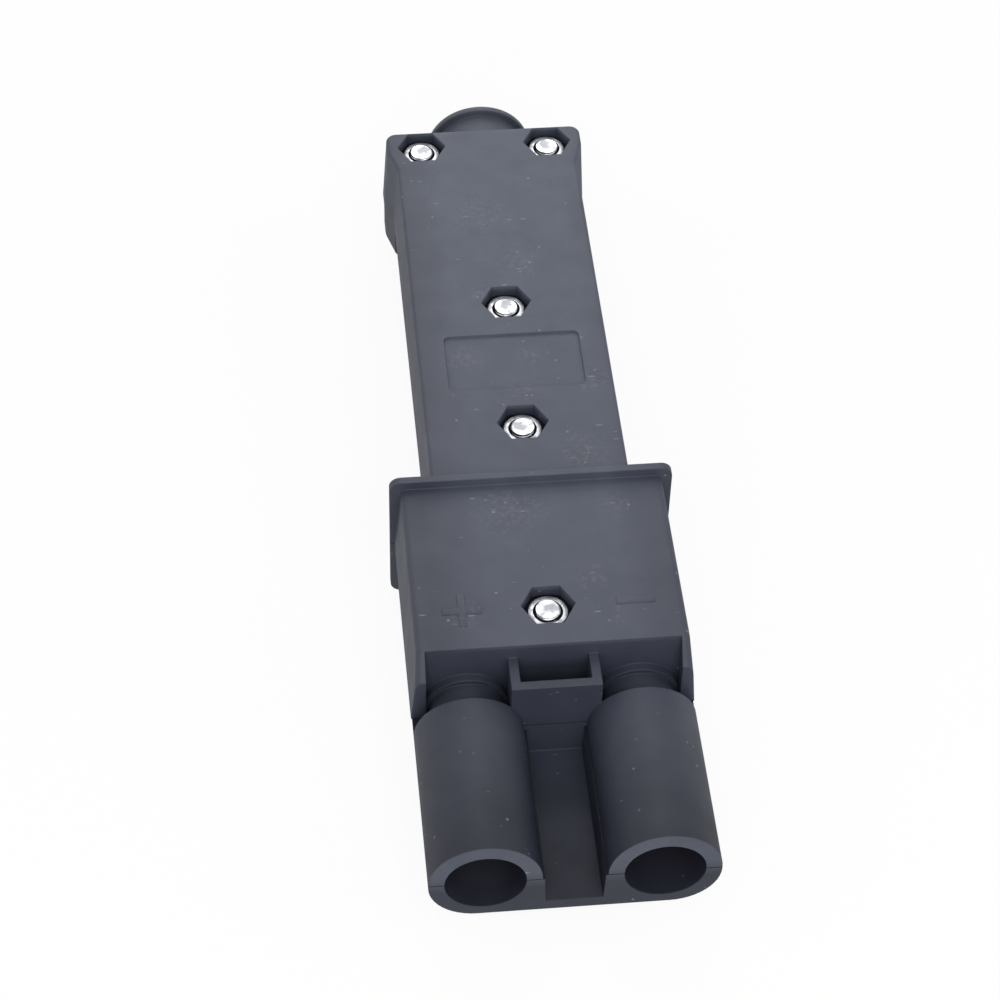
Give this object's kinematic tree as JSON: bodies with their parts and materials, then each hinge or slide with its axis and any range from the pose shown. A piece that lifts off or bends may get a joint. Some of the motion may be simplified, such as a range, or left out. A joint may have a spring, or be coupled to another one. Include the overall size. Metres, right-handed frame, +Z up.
{
  "type": "golf cart charger plug",
  "caption": "Hand-held charger plug with a flat grip, finger flange, hooded head with a U-shaped catch, and round barrels round recessed contacts.",
  "frame": {"origin": "middle of the plug's footprint, at the height of its lowest edge, the flange's lower edge", "axes": "+Y from the barrels' mouths back to the cord entry, +Z up to the side with the nuts, +X to the right seen from behind; the barrels' axes and the joint of the shells lie at z = 13.3 mm"},
  "size_m": [0.051, 0.1812, 0.0293],
  "materials": {
    "moulded_plastic": "fine matte mould texture",
    "bush_rubber": "matte",
    "zinc_plated_steel": "bright zinc plate",
    "contact_brass": "turned",
    "spring_steel": "plain steel"
  },
  "bodies": {
    "root": {"upper_shell": "moulded_plastic", "lower_shell": "moulded_plastic", "cord_bush": "bush_rubber", "nut_rear_left": "zinc_plated_steel", "screw_rear_left": "zinc_plated_steel", "nut_rear_right": "zinc_plated_steel", "screw_rear_right": "zinc_plated_steel", "nut_grip_rear": "zinc_plated_steel", "screw_grip_rear": "zinc_plated_steel", "nut_grip_front": "zinc_plated_steel", "screw_grip_front": "zinc_plated_steel", "nut_head": "zinc_plated_steel", "screw_head": "zinc_plated_steel", "contact_left": "contact_brass", "contact_spring_left": "spring_steel", "clamp_screw_left_front": "spring_steel", "clamp_screw_left_rear": "spring_steel", "contact_right": "contact_brass", "contact_spring_right": "spring_steel", "clamp_screw_right_front": "spring_steel", "clamp_screw_right_rear": "spring_steel"}
  },
  "joints": []
}
